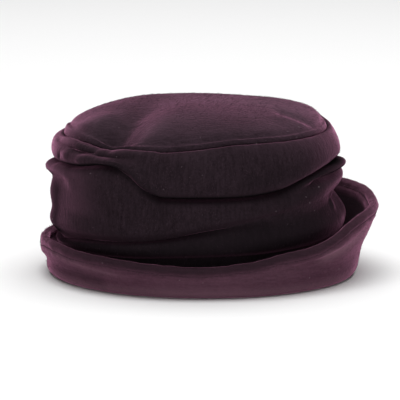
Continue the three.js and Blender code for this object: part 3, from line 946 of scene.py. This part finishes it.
@dataclass
class SideBand:
    """The tall side of the crown, pushed down into three tiers. Sizes are millimetres.

    Two tables of paths say where shade and where light are painted on the nap. The rim is the cloth's edge
    at the crown's seam. Round lit_azimuth, light falls in between the band and the brim, and less shade is
    painted there. The gutter is the bottom of that gap, where the painted shade is a little lighter.
    """

    thickness: float = 2.6
    sections: int = 420
    steps: tuple[int, ...] = (5, 7, 10, 10, 10, 9, 6, 7, 7, 8, 9, 7, 7, 6, 6, 5, 3)
    inside_step: int = 3
    uneven: Cloud = Cloud(0.35, 42.0, 3.7)
    uneven_squash: tuple[float, float, float] = (1.0, 1.0, 2.0)
    rim_round: float = 1.5
    rim_thin: float = 0.8
    rim_width: float = 3.4
    # painted shade along the rim, in the groove at the seam
    rim_painted_shade: float = 0.65
    rim_shade: float = 1.5
    pucker: Cloud = Cloud(0.35, 6.5, 6.1)
    pucker_run: float = 5.0
    # painted shade under the folds and in the creases
    tuck_start: float = 0.3
    tuck_full: float = 0.95
    crease_width: float = 1.6
    lip_width: float = 3.2
    crease_deep: float = 5.0
    # painted shade on the tier below the middle crease
    sunk_painted_shade: float = 0.72
    sunk_start: float = -3.0
    sunk_full: float = 7.0
    # less shade is painted where light falls in at the lit end
    lit_azimuth: float = 345.0
    lit_width: float = 22.0
    lit_share: float = 0.8
    # the painted shade is lighter in the gutter
    gutter_rise: float = 3.0
    gutter_run: float = 7.0
    gutter_less_shade: float = 0.26
    # paths of painted shade
    flat_nap: tuple[Wrinkle, ...] = (
        Wrinkle(((284, 82), (300, 85), (314, 89), (324, 92)), 0.3, 7.0, 6.0, 0.2),
        Wrinkle(((300, 64), (316, 68), (332, 73)), 0.3, 5.0, 6.0, 0.2),
        Wrinkle(((231, 95.2), (238, 93.4), (243, 89.6), (248, 83), (257, 76.6)), 0.5, 2.4, 2.2, 0.12),
        Wrinkle(((202, 82), (200, 66), (197, 50), (197, 28)), 0.88, 12.0, 36.0, 0.28),
        Wrinkle(((349, 70), (351, 56), (352, 44), (350, 26)), 0.5, 14.0, 14.0, 0.4),
        Wrinkle(((350, 66.5), (340, 65), (332, 61.5), (323, 58)), 0.4, 3.6, 3.6, 0.3),
        Wrinkle(((346, 118), (345, 98), (346, 84), (345, 66)), 0.5, 22.0, 16.0, 0.4),
    )
    # a path of painted light
    rubbed_nap: tuple[Wrinkle, ...] = (
        Wrinkle(((206, 92), (209, 84), (212, 74), (214, 62), (214, 50)), 0.42, 16.0, 13.0, 0.2),
    )
    wrinkles: tuple[Wrinkle, ...] = (
        Wrinkle(
            ((188, 105), (200, 104.2), (209, 103.6), (216, 102), (222, 100.6), (230, 99.6)), 1.5, 0.9, 1.3
        ),
        Wrinkle(((187, 101.6), (200, 100.8), (209, 100.2), (216, 99.4), (222, 98.8)), -0.9, 1.1, 1.1),
        Wrinkle(((214, 99), (220, 99.4), (226, 99.6)), -1.2, 1.5, 1.5),
        Wrinkle(((214, 92.4), (219, 95), (224, 98), (231, 101)), 0.9, 1.8, 2.6, 0.2),
        Wrinkle(((230, 100.6), (238, 102), (246, 102.8), (256, 103)), 0.7, 1.2, 2.2, 0.2),
        Wrinkle(((204, 98), (202, 94.5), (200, 91.5), (197, 88.5)), -1.5, 1.8, 1.8, 0.6),
        Wrinkle(((207, 101), (208, 96), (205, 90)), 0.7, 4.0, 3.4, 0.5),
        Wrinkle(((190, 86), (200, 84.6), (207, 82.2), (212, 77.4), (218, 70)), 1.3, 3.2, 4.4),
        Wrinkle(((180, 74), (182, 66), (181, 58), (183, 48)), -0.9, 4.0, 4.0),
        Wrinkle(((342, 68), (341.5, 62), (341, 56), (339, 50)), 1.3, 2.4, 3.0, 0.3),
        Wrinkle(((352, 44), (340, 43), (329, 41.6), (316, 41)), 0.9, 2.8, 4.0),
    )

    def build(self) -> bpy.types.Object:
        """Builds the band as one closed piece of cloth."""
        azimuths = azimuth_steps(self.sections)
        grid = section_grid(BAND_LINES, self.steps, azimuths, False)
        normals = grid_normals(grid)
        lift = lifts(self.wrinkles, azimuths, grid) + self.uneven.at(grid * self.uneven_squash)
        middle = grid + normals * lift[..., None]
        normals = grid_normals(middle)
        normals[0] = UP
        normals[-1] = OVAL.outward(azimuths)
        from_seam = run_lengths(grid)
        rim = np.clip(1.0 - from_seam / self.rim_width, 0.0, 1.0) ** 2
        puckers = self.pucker.at(grid) * bell(from_seam, self.pucker_run)
        outer = middle + normals * (self.thickness / 2 * (1.0 - self.rim_thin * rim) + puckers)[..., None]
        inner = middle - normals * (self.thickness / 2)
        outer[..., 2] -= self.rim_round * rim
        gutter_top = band_line("crease_c", "up", azimuths) + self.gutter_rise
        gutter = smooth_step(0.0, self.gutter_run, gutter_top + self.gutter_run / 2 - grid[..., 2])
        marks = {
            "shows": np.ones(outer.shape[:2]),
            "tuck": self._tuck(azimuths, grid, normals) * (1.0 - self.gutter_less_shade * gutter),
            "worn": lifts(self.rubbed_nap, azimuths, grid),
        }
        surface = shell(outer, inner, cloth_lie(grid, azimuths), marks, self.inside_step)
        piece = new_piece("side_band_cloth", surface.mesh("side_band_cloth"))
        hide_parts("side_band")
        return piece

    def _tuck(self, azimuths: np.ndarray, grid: np.ndarray, normals: np.ndarray) -> np.ndarray:
        """Marks where shade is painted: under the folds, in the creases, at the rim, and down in the brim.

        Args:
            azimuths: degrees of the sections.
            grid: the middle of the cloth.
            normals: the way out of it.

        Returns:
            The mark at each point, from 0 to 1.
        """
        # painted shade: under the folds, in the creases, below the middle crease, along the rim and on the
        # listed paths
        tuck = smooth_step(self.tuck_start, self.tuck_full, -normals[..., 2])
        lit = bell(turn_from(azimuths, self.lit_azimuth), self.lit_width)
        for crease in CREASES:
            above = grid[..., 2] - band_line(crease.line, "up", azimuths)
            lips = band_line(crease.upper, "out", azimuths) + band_line(crease.lower, "out", azimuths)
            depth = lips / 2 - band_line(crease.line, "out", azimuths)
            crease_shade = crease.crease_shade * smooth_step(0.0, self.crease_deep, depth)
            if crease.lighter_at_lit_end:
                crease_shade = crease_shade * (1.0 - lit)
            reach = np.where(above > 0.0, self.crease_width, self.lip_width)
            tuck = np.maximum(tuck, crease_shade * bell(above, reach))
        below = band_line("crease_b", "up", azimuths) - grid[..., 2]
        sunk = self.sunk_painted_shade * (1.0 - self.lit_share * lit)
        tuck = np.maximum(tuck, sunk * smooth_step(self.sunk_start, self.sunk_full, below))
        tuck = np.maximum(tuck, self.rim_painted_shade * bell(run_lengths(grid), self.rim_shade))
        return np.clip(tuck + lifts(self.flat_nap, azimuths, grid), 0.0, 1.0)


@dataclass(frozen=True)
class Press:
    """A dent (positive depth) or a crest (negative) in the crown top, from one point in plan to another.

    left and right are its widths on each hand, and fade is the share of the depth that its far end keeps.
    """

    start: tuple[float, float]
    end: tuple[float, float]
    left: float
    right: float
    depth: float
    fade: float

    def at(self, x: np.ndarray, y: np.ndarray) -> np.ndarray:
        """Returns how far the cloth is pressed down at each place."""
        start = np.array(self.start)
        along = np.array(self.end) - start
        offset = np.stack((x, y), axis=-1) - start
        share = np.clip(offset @ along / (along @ along), 0.0, 1.0)
        side = along[0] * offset[..., 1] - along[1] * offset[..., 0]
        width = np.where(side > 0, self.left, self.right)
        distance = np.linalg.norm(offset - share[..., None] * along, axis=-1)
        return self.depth * (1.0 + (self.fade - 1.0) * share) * bell(distance, width)


def pressed_share(presses: tuple[Press, ...], x: np.ndarray, y: np.ndarray) -> np.ndarray:
    """Adds up the presses at each place, and keeps the sum from 0 to 1."""
    return np.clip(sum(press.at(x, y) for press in presses), 0.0, 1.0)


@dataclass
class CrownTop:
    """The oval panel that swells over its seam. Sizes are millimetres.

    Round pulled_azimuth the welt along the seam is pulled higher and wider. Two tables of presses say where
    light and where shade are painted on the nap, and their depth is a share from 0 to 1.
    """

    thickness: float = 2.6
    sections: int = 420
    height: float = 19.5
    seam_mean: float = 107.5
    peak: tuple[float, float] = (-14.0, 8.0)
    roundness: float = 3.0
    fullness: float = 0.66
    seam_hold: float = 7.0
    seam_gap: float = 0.3
    edge_slope: float = 0.85
    edge_run: float = 9.0
    edge_round: float = 1.5
    welt_height: float = 0.7
    welt_inset: float = 1.1
    welt_width: float = 1.0
    welt_groove: float = 0.4
    groove_inset: float = 2.9
    groove_width: float = 1.1
    pulled_welt: float = 2.2
    pulled_wider: float = 0.7
    pulled_azimuth: float = 186.0
    pulled_width: float = 20.0
    pucker: Cloud = Cloud(0.3, 6.5, 4.4)
    pucker_run: float = 3.5
    uneven: Cloud = Cloud(0.35, 46.0, 9.1)
    seam_share: float = 0.075
    open_rings: int = 61
    seam_rings: int = 16
    inside_step: int = 3
    presses: tuple[Press, ...] = (
        Press((-53, -56), (-28, 16), 14, 16, 8.4, 0.18),
        Press((-67, -55), (-58, -50), 7, 8, 5.4, 0.6),
        Press((-75, -49), (-72, -40), 2.6, 2.6, -0.9, 0.5),
        Press((-29, -67), (2, 0), 10, 24, -1.3, 0.3),
        Press((-90, -34), (-66, -37), 16, 9, -3.6, 0.8),
        Press((64, -22), (80, -29), 7, 5.5, 2.0, 0.7),
        Press((64, -36), (82, -37), 5, 8, -1.2, 0.8),
        Press((56, 12), (80, 8), 20, 20, -1.8, 1.0),
        Press((-6, 26), (24, 26), 24, 24, 1.0, 1.0),
    )
    # presses of painted light
    rubbed_nap: tuple[Press, ...] = (
        Press((60, -54), (82, -38), 16, 10, 0.2, 1.0),
        Press((-32, -58), (-12, -46), 8, 14, 0.26, 0.8),
        Press((-74, -28), (-60, -22), 14, 10, 0.2, 1.0),
        Press((-95, -24), (-91, -26), 7, 7, 0.2, 0.6),
        Press((0, 12), (70, -8), 30, 18, 0.4, 1.0),
        Press((-76, -42), (-54, -39), 8, 6, 0.16, 1.0),
    )
    # presses of painted shade
    flat_nap: tuple[Press, ...] = (
        Press((-46, -20), (-34, 30), 11, 11, 0.17, 1.0),
        Press((-66, -55), (-52, -54), 7, 8, 0.22, 1.0),
        Press((-47, -60), (-38, -48), 8, 8, 0.26, 0.5),
    )

    def _shares(self) -> np.ndarray:
        """Returns the rings' places from the peak to the seam, closer together at the seam."""
        open_share = 1.0 - self.seam_share
        open_part = np.linspace(0.0, open_share, self.open_rings + 1)[1:]
        turns = np.linspace(0.0, math.pi / 2, self.seam_rings + 1)[1:]
        return np.concatenate((open_part, open_share + self.seam_share * np.sin(turns)))

    def _point(self, azimuths: np.ndarray, share: np.ndarray) -> tuple[np.ndarray, np.ndarray]:
        """Places the middle of the cloth.

        Args:
            azimuths: degrees of the points of a ring.
            share: 0 at the peak and 1 at the seam, for each ring.

        Returns:
            The points, and their distances from the seam.
        """
        seam_up = band_line("seam", "up", azimuths)
        seam = OVAL.place(azimuths, band_line("seam", "out", azimuths) - self.seam_gap, seam_up)
        peak = np.array((self.peak[0] + OVAL.middle_x, self.peak[1], 0.0))
        s = share[:, None]
        points = peak + (seam - peak)[None] * s[..., None]
        from_seam = np.linalg.norm((points - seam)[..., :2], axis=-1)
        dome = self.height * (1.0 - s**self.roundness) ** self.fullness
        roll = self.edge_slope * from_seam
        swell = roll + (dome - roll) * smooth_step(0.0, self.edge_run, from_seam)
        x, y = points[..., 0] - OVAL.middle_x, points[..., 1]
        pressed = sum(press.at(x, y) for press in self.presses)
        held = smooth_step(0.0, self.seam_hold, from_seam)
        points[..., 2] = self.seam_mean + (seam_up - self.seam_mean) * s**3 + swell - pressed * held
        points[..., 2] += held * self.uneven.at(points)
        return points, from_seam

    def build(self) -> bpy.types.Object:
        """Builds the panel as one closed piece of cloth."""
        azimuths = azimuth_steps(self.sections)
        middle, from_seam = self._point(azimuths, self._shares())
        pulled = bell(turn_from(azimuths, self.pulled_azimuth), self.pulled_width)
        wider = 1.0 + self.pulled_wider * pulled
        welt = self.welt_height * (1.0 + self.pulled_welt * pulled)
        welt = welt * bell(from_seam - self.welt_inset * wider, self.welt_width * wider)
        welt -= self.welt_groove * wider * bell(from_seam - self.groove_inset * wider, self.groove_width)
        welt += self.pucker.at(middle) * bell(from_seam, self.pucker_run)
        edge = self.thickness / 2 * np.clip(1.0 - from_seam / self.edge_round, 0.0, 1.0) ** 2
        upper = middle + UP * (self.thickness / 2 + welt - edge)[..., None]
        lower = middle - UP * (self.thickness / 2)
        x, y = middle[..., 0] - OVAL.middle_x, middle[..., 1]
        marks = {
            "shows": np.ones(upper.shape[:2]),
            "tuck": pressed_share(self.flat_nap, x, y),
            "worn": pressed_share(self.rubbed_nap, x, y),
        }
        surface = shell(upper, lower, upper, marks, self.inside_step)
        peak = self._point(azimuths[:1], np.zeros(1))[0][0, 0]
        surface.poles = (peak + UP * self.thickness / 2, peak - UP * self.thickness / 2)
        piece = new_piece("crown_top_cloth", surface.mesh("crown_top_cloth"))
        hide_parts("crown_top")
        return piece


FLOOR_LINE = 2.6

BRIM_LINES: Lines = {
    "joint": (Row(0, -3, 14.7), Row(180, -3, 14.7)),
    "leg": (Row(0, -3, 9.6), Row(180, -3, 9.6)),
    "inner_turn": (Row(0, -1.6, 5), Row(180, -1.8, 5)),
    "floor_in": (Row(0, 2, FLOOR_LINE), Row(180, 0.6, FLOOR_LINE)),
    "floor_out": (
        Row(0, 12, FLOOR_LINE), Row(45, 10, FLOOR_LINE), Row(90, 7, FLOOR_LINE), Row(180, 4.8, FLOOR_LINE),
        Row(225, 6.4, FLOOR_LINE), Row(270, 8.2, FLOOR_LINE), Row(300, 11.4, FLOOR_LINE),
        Row(330, 14, FLOOR_LINE),
    ),
    "outer_turn": (
        Row(0, 15, 4.4), Row(45, 13, 4.4), Row(90, 9.9, 4.4), Row(180, 7.4, 4.4), Row(225, 9.2, 4.4),
        Row(270, 11.2, 4.4), Row(300, 14.4, 4.4), Row(330, 17, 4.4),
    ),
    "wall": (
        Row(0, 19.6, 24.4), Row(20, 18.6, 27), Row(45, 15.4, 27), Row(90, 11.6, 22.6), Row(135, 9.4, 16.6),
        Row(180, 7.8, 12.8), Row(200, 9.6, 12.4), Row(217, 11.6, 12), Row(245, 13.2, 10.8),
        Row(270, 13.8, 11), Row(300, 16.9, 13.8), Row(320, 19, 17), Row(340, 20.4, 21),
    ),
    "hem": (
        Row(0, 27.8, 42.4), Row(20, 25.6, 48), Row(45, 21.2, 47), Row(90, 15.4, 37), Row(135, 13, 27.6),
        Row(165, 12.4, 21.6), Row(185, 12.4, 21.4), Row(203, 13.4, 22.2), Row(217, 14.4, 20.6),
        Row(231, 15, 18), Row(245, 15, 15.6), Row(270, 15.2, 15.6), Row(289, 17, 19.4), Row(305, 20, 25.4),
        Row(319, 22.8, 29.6), Row(330, 25.2, 34), Row(345, 27.2, 39),
    ),
    "edge": (
        Row(0, 31.8, 53.4), Row(10, 31.4, 56.6), Row(20, 29, 58.8), Row(32, 26.6, 59), Row(45, 23.6, 57.6),
        Row(65, 20, 52.4), Row(90, 17, 46), Row(135, 13.2, 35), Row(165, 10.8, 27.6), Row(185, 10.4, 27.6),
        Row(206, 12.2, 30.2), Row(220, 14.4, 28.8), Row(232, 15.6, 28.2), Row(248, 16.4, 26.4),
        Row(270, 17, 24.2), Row(289, 18.4, 26.8), Row(302, 20.6, 32), Row(312, 22.2, 34.6),
        Row(319, 23.4, 37.4), Row(325, 24.8, 42), Row(331, 26.4, 47), Row(338, 28.2, 51),
        Row(346, 29.8, 52.4),
    ),
}


class Side(Enum):
    """Which layer of the brim: its value is the way that the layer lies from the brim's middle."""

    OUTER = -1
    FACING = 1


class EdgeShadeGap(NamedTuple):
    """A stretch where less shade is painted on the brim's edge: its middle and width in degrees, and by what
    share.
    """

    azimuth: float
    width: float
    share: float


@dataclass
class BrimLayer:
    """One of the brim's two layers of fleece, sewn together at the edge and turned. Sizes are millimetres.

    The allowance is the seam's doubled cloth behind the edge, between the rolled edge and the hem. On the
    facing, the painted shade is deepest near where the brim stands highest.
    """

    side: Side
    thickness: float = 2.8
    seam_gap: float = 0.3
    sections: int = 420
    steps: tuple[int, ...] = (4, 5, 6, 7, 8, 16, 18, 16)
    inside_step: int = 3
    roll: float = 3.4
    allowance: float = 10.5
    allowance_height: float = 0.6
    allowance_start: float = 0.5
    allowance_full: float = 3.0
    allowance_before: float = 2.5
    allowance_after: float = 1.5
    lump: Cloud = Cloud(0.45, 9.0, 8.2)
    wave: Cloud = Cloud(0.6, 13.0, 2.9)
    wave_run: float = 7.0
    groove_inset: float = 6.0
    groove_depth: float = 0.6
    groove_width: float = 1.3
    # painted shade along the rolled edge, on the outer layer and on the facing
    edge_painted_shade: float = 0.74
    facing_painted_shade: float = 0.22
    edge_start: float = 2.0
    edge_end: float = 7.4
    edge_shade_gaps: tuple[EdgeShadeGap, ...] = (EdgeShadeGap(5.0, 38.0, 0.6), EdgeShadeGap(180.0, 30.0, 0.9))
    uneven: Cloud = Cloud(0.3, 38.0, 5.3)
    nap_start: float = 1.5
    nap_full: float = 4.0
    # painted shade inside the facing, deepest round one azimuth
    tuck_start: float = 7.0
    tuck_full: float = 14.0
    tuck_least: float = 0.25
    tuck_most: float = 0.93
    deepest_shade_azimuth: float = 12.0
    deepest_shade_width: float = 45.0
    # paths of painted shade on the outer layer
    flat_nap: tuple[Wrinkle, ...] = (
        Wrinkle(((198, 12), (210, 12), (224, 12), (238, 9)), 0.4, 4.0, 5.0, 0.15),
        Wrinkle(((182, 34), (190, 30), (200, 28)), 0.2, 8.0, 8.0, 0.15),
    )
    # paths of painted light along the hem and the lower wall
    rubbed_nap: tuple[Wrinkle, ...] = (
        Wrinkle(((194, 23), (204, 23), (220, 20.8), (234, 18.1), (250, 15.2)), 0.3, 2.0, 2.6),
        Wrinkle(((311, 24), (319, 27), (329, 31.2), (338, 36.8), (347, 42)), 0.75, 2.6, 5.0, 0.3),
        Wrinkle(((248, 9), (275, 11), (298, 17), (314, 24)), 0.13, 9.0, 8.0, 0.2),
    )
    # painted light at the foot, where the floor lights it
    foot_worn: float = 0.6
    worn_low: float = 1.0
    worn_high: float = 11.0
    wrinkles: tuple[Wrinkle, ...] = (
        Wrinkle(((194, 23), (204, 23), (220, 20.8), (234, 18.1), (248, 15)), 0.6, 2.4, 3.6),
        Wrinkle(((294, 22), (307, 24.4), (318, 27), (329, 31.4), (338, 37), (347, 42)), 0.8, 2.6, 4.4),
    )
    groove: list[np.ndarray] = field(default_factory=list)

    def build(self) -> bpy.types.Object:
        """Builds the layer as one closed piece of cloth."""
        azimuths = azimuth_steps(self.sections)
        grid = section_grid(BRIM_LINES, self.steps, azimuths, True)
        lift = lifts(self.wrinkles, azimuths, grid) + self.uneven.at(grid)
        grid += grid_normals(grid) * lift[..., None]
        lengths = run_lengths(grid)
        grid[..., 2] += self.wave.at(grid) * bell(lengths[-1] - lengths, self.wave_run)
        grid[..., 2] = np.maximum(grid[..., 2], FLOOR_LINE)
        normals = grid_normals(grid)
        normals[0] = OVAL.outward(azimuths)
        lengths = run_lengths(grid)
        to_edge = lengths[-1] - lengths
        way = normals * float(self.side.value)
        hidden = grid + way * (self.seam_gap / 2)
        shown = hidden + way * self._height(grid, to_edge)[..., None]
        for face in (shown, hidden):
            face[..., 2] = np.maximum(face[..., 2], 0.0)
        self.groove = self._groove(shown, way, to_edge)
        turn = slice(None, None, self.side.value)
        lie = cloth_lie(grid, azimuths)[turn]
        marks = self._marks(azimuths, grid, shown[..., 2], to_edge)
        marks = {mark: values[turn] for mark, values in marks.items()}
        surface = shell(shown[turn], hidden[turn], lie, marks, self.inside_step)
        name = f"brim_{self.side.name.lower()}_cloth"
        piece = new_piece(name, surface.mesh(name))
        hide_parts(f"brim_{self.side.name.lower()}")
        return piece

    def _height(self, grid: np.ndarray, to_edge: np.ndarray) -> np.ndarray:
        """Works out how far the shown face stands from the hidden one.

        Args:
            grid: the middle of the brim.
            to_edge: how far each point lies from the edge.

        Returns:
            The height at each point, with the rolled edge, the allowance and the stitched groove.
        """
        rounded = np.clip(to_edge / self.roll, 0.0, 1.0)
        full = self.thickness * np.sqrt(1.0 - (1.0 - rounded) ** 2)
        rise = smooth_step(self.allowance_start, self.allowance_full, to_edge)
        end = self.allowance
        fall = smooth_step(end - self.allowance_before, end + self.allowance_after, to_edge)
        band = rise * (1.0 - fall)
        groove = bell(to_edge - self.groove_inset, self.groove_width)
        relief = (self.allowance_height + self.lump.at(grid)) * band - self.groove_depth * groove
        return full + relief

    def _marks(self, azimuths: np.ndarray, grid: np.ndarray, up: np.ndarray, to_edge: np.ndarray) -> Marks:
        """Marks where the nap shows, where shade is painted and where light is painted.

        Args:
            azimuths: degrees of the sections.
            grid: the middle of the brim.
            up: the heights of the shown face.
            to_edge: how far each point lies from the edge.

        Returns:
            The marks at each point, from 0 to 1.
        """
        # painted shade along the edge, less at the listed stretches
        edge = 1.0 - smooth_step(self.edge_start, self.edge_end, to_edge)
        for end in self.edge_shade_gaps:
            edge = edge * (1.0 - end.share * bell(turn_from(azimuths, end.azimuth), end.width))
        if self.side is Side.FACING:
            # painted shade inside the facing
            deep = bell(turn_from(azimuths, self.deepest_shade_azimuth), self.deepest_shade_width)
            most = self.tuck_least + (self.tuck_most - self.tuck_least) * deep
            inside = most * smooth_step(self.tuck_start, self.tuck_full, to_edge)
            tuck = np.maximum(self.facing_painted_shade * edge, inside)
            worn = np.zeros_like(tuck)
        else:
            tuck = np.clip(self.edge_painted_shade * edge + lifts(self.flat_nap, azimuths, grid), 0.0, 1.0)
            # painted light at the foot and along the listed paths
            foot = self.foot_worn * (1.0 - smooth_step(self.worn_low, self.worn_high, up))
            worn = np.clip(foot + lifts(self.rubbed_nap, azimuths, grid), 0.0, 1.0)
        return {"shows": smooth_step(self.nap_start, self.nap_full, up), "tuck": tuck, "worn": worn}

    def _groove(self, shown: np.ndarray, way: np.ndarray, to_edge: np.ndarray) -> list[np.ndarray]:
        """Follows the bottom of the stitched groove.

        Args:
            shown: the layer's shown face.
            way: the way out of that face.
            to_edge: how far each point lies from the edge.

        Returns:
            The points of the path in millimetres, and the way out of the cloth at each.
        """
        column = np.arange(shown.shape[1])
        after = np.argmax(to_edge < self.groove_inset, axis=0)
        before = after - 1
        far, near = to_edge[before, column], to_edge[after, column]
        share = ((far - self.groove_inset) / (far - near))[:, None]
        path = shown[before, column] * (1.0 - share) + shown[after, column] * share
        return [path, way[before, column]]

    def stitches(self, thread: bpy.types.Material) -> bpy.types.Object:
        """Sews the row of stitches along the groove."""
        return STITCHES.build(f"brim_{self.side.name.lower()}_stitches", *self.groove, thread)


class SoftBox(NamedTuple):
    """A square soft light that faces the hat: its place and size in metres, and its power in watts."""

    name: str
    place: tuple[float, float, float]
    size: float
    power: float


@dataclass
class Studio:
    """The pale floor, the soft light and the camera.

    Sizes are metres, but sensor is the camera's usual sensor width in millimetres. elevation is in degrees.
    """

    elevation: float = 11.5
    distance: float = 2.2
    pixel: float = 0.00075
    photo_width: int = 400
    target: tuple[float, float, float] = (-0.0071, 0.0, 0.0529)
    sensor: float = 36.0
    sight: float = 50.0
    floor_size: float = 8.0
    floor_drop: float = 0.0002
    sky: float = 0.14
    lights: tuple[SoftBox, ...] = (
        SoftBox("overhead", (0.0, 0.3, 2.5), 3.0, 93.0),
        SoftBox("front_fill", (0.0, -1.6, 0.35), 0.8, 4.0),
    )

    def camera(self) -> None:
        """Sets the camera at the photo's angle and distance."""
        data = bpy.data.cameras.new("camera")
        data.sensor_width = self.sensor
        data.lens = self.sensor / (self.photo_width * self.pixel) * self.distance
        data.clip_end = self.sight
        camera = bpy.data.objects.new("camera", data)
        tilt = math.radians(self.elevation)
        back = Vector((0.0, -math.cos(tilt), math.sin(tilt)))
        camera.location = Vector(self.target) + back * self.distance
        camera.rotation_euler = (math.pi / 2 - tilt, 0.0, 0.0)
        bpy.context.scene.collection.objects.link(camera)
        bpy.context.scene.camera = camera

    def floor(self) -> None:
        """Lays the floor."""
        half = self.floor_size / 2
        corners = [(-half, -half), (half, -half), (half, half), (-half, half)]
        mesh = bpy.data.meshes.new("floor")
        mesh.from_pydata([(x, y, -self.floor_drop) for x, y in corners], [], [(0, 1, 2, 3)])
        mesh.materials.append(PlainFloor().material())
        new_piece("floor", mesh)

    def _hang(self, box: SoftBox) -> None:
        """Hangs a soft light."""
        data = bpy.data.lights.new(box.name, "AREA")
        data.energy = box.power
        data.size = box.size
        light = bpy.data.objects.new(box.name, data)
        light.location = box.place
        light.rotation_euler = (Vector(self.target) - light.location).to_track_quat("-Z", "Y").to_euler()
        bpy.context.scene.collection.objects.link(light)

    def light(self) -> None:
        """Lights the hat softly from all round, and more from above and behind."""
        world = bpy.data.worlds.new("studio")
        world.use_nodes = True
        graph = NodeGraph(world.node_tree)
        shader = graph.wire("ShaderNodeBackground", 0, color=(1.0, 1.0, 1.0, 1.0), strength=self.sky)
        graph.add("ShaderNodeOutputWorld", surface=shader)
        bpy.context.scene.world = world
        for box in self.lights:
            self._hang(box)
        bpy.context.scene.view_settings.view_transform = "Standard"


# The three fleeces are one cloth: the crown top's pale colour and the whole brim fleece are painted lighter
# than the band's, as painted light from above and from the floor.
CROWN_DEEP, CROWN_PALE = (0.008, 0.006, 0.007, 1.0), (0.034, 0.022, 0.029, 1.0)
CROWN_FLEECE = Fleece(
    "crown_fleece", CROWN_DEEP, CROWN_PALE, (520.0, 520.0, 130.0), painted_light_colour=(0.10, 0.047, 0.071, 1.0)
)
TOP_FLEECE = Fleece("top_fleece", CROWN_DEEP, (0.050, 0.031, 0.042, 1.0), (110.0, 700.0, 700.0), bump=0.45)
BRIM_FLEECE = Fleece(
    "brim_fleece", (0.046, 0.020, 0.031, 1.0), (0.112, 0.049, 0.075, 1.0), (110.0, 110.0, 700.0),
    painted_light_colour=(0.20, 0.105, 0.14, 1.0),
)
NAP_FIBRE = Fibre("nap_fibre", (0.032, 0.019, 0.026, 1.0), (0.095, 0.055, 0.076, 1.0), 60.0, 0.8)
LINT_FIBRE = Fibre("lint_fibre", (0.30, 0.22, 0.26, 1.0), (0.55, 0.46, 0.50, 1.0), 400.0, 0.8)
THREAD = Fibre("thread", (0.030, 0.013, 0.021, 1.0), (0.085, 0.040, 0.060, 1.0), 2200.0, 0.6)

TOP_NAP = Nap(350000.0, (1.0, 0.0, 0.0), 11)
BAND_NAP = Nap(260000.0, (0.0, 0.0, -1.0), 12)
BRIM_NAP = Nap(420000.0, (0.0, 0.0, 1.0), 13)
LINT = Nap(1100.0, (0.0, 0.0, 0.0), 21, 0.0011, 0.00016, 0.1, 1.0)


class Wardrobe:
    """Gives the pieces their body, and reports them."""

    def __init__(self) -> None:
        """Makes the materials that the pieces share."""
        self.nap = NAP_FIBRE.material()
        self.lint = LINT_FIBRE.material()
        self.thread = THREAD.material()

    def add(self, piece: bpy.types.Object, slot: str) -> None:
        """Makes a finished piece ride on the hat."""
        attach(piece, "root")
        log.info("%s: %d faces", piece.name, len(piece.data.polygons))

    def dress(self, cloth: bpy.types.Object, fleece: bpy.types.Material, nap: Nap, slot: str) -> None:
        """Covers a cloth with its fleece, its loose nap and its lint.

        Args:
            cloth: the cloth.
            fleece: its material.
            nap: its loose fibres.
            slot: the record's material slot, which is not used.
        """
        cloth.data.materials.append(fleece)
        self.add(cloth, slot)
        node = cloth.name.removesuffix("_cloth")
        self.add(nap.build(f"{node}_nap", cloth, self.nap), slot)
        self.add(LINT.build(f"{node}_lint", cloth, self.lint), slot)


def main() -> None:
    """Builds the hat and the studio round it."""
    logging.basicConfig(level=logging.INFO, format="%(message)s")
    studio = Studio()
    studio.camera()
    wardrobe = Wardrobe()
    wardrobe.dress(CrownTop().build(), TOP_FLEECE.material(), TOP_NAP, "crown_fleece")
    wardrobe.dress(SideBand().build(), CROWN_FLEECE.material(), BAND_NAP, "crown_fleece")
    brim_fleece = BRIM_FLEECE.material()
    for side in Side:
        layer = BrimLayer(side)
        wardrobe.dress(layer.build(), brim_fleece, BRIM_NAP, "brim_fleece")
        wardrobe.add(layer.stitches(wardrobe.thread), "brim_fleece")
    studio.floor()
    studio.light()


if __name__ == "__main__":
    main()
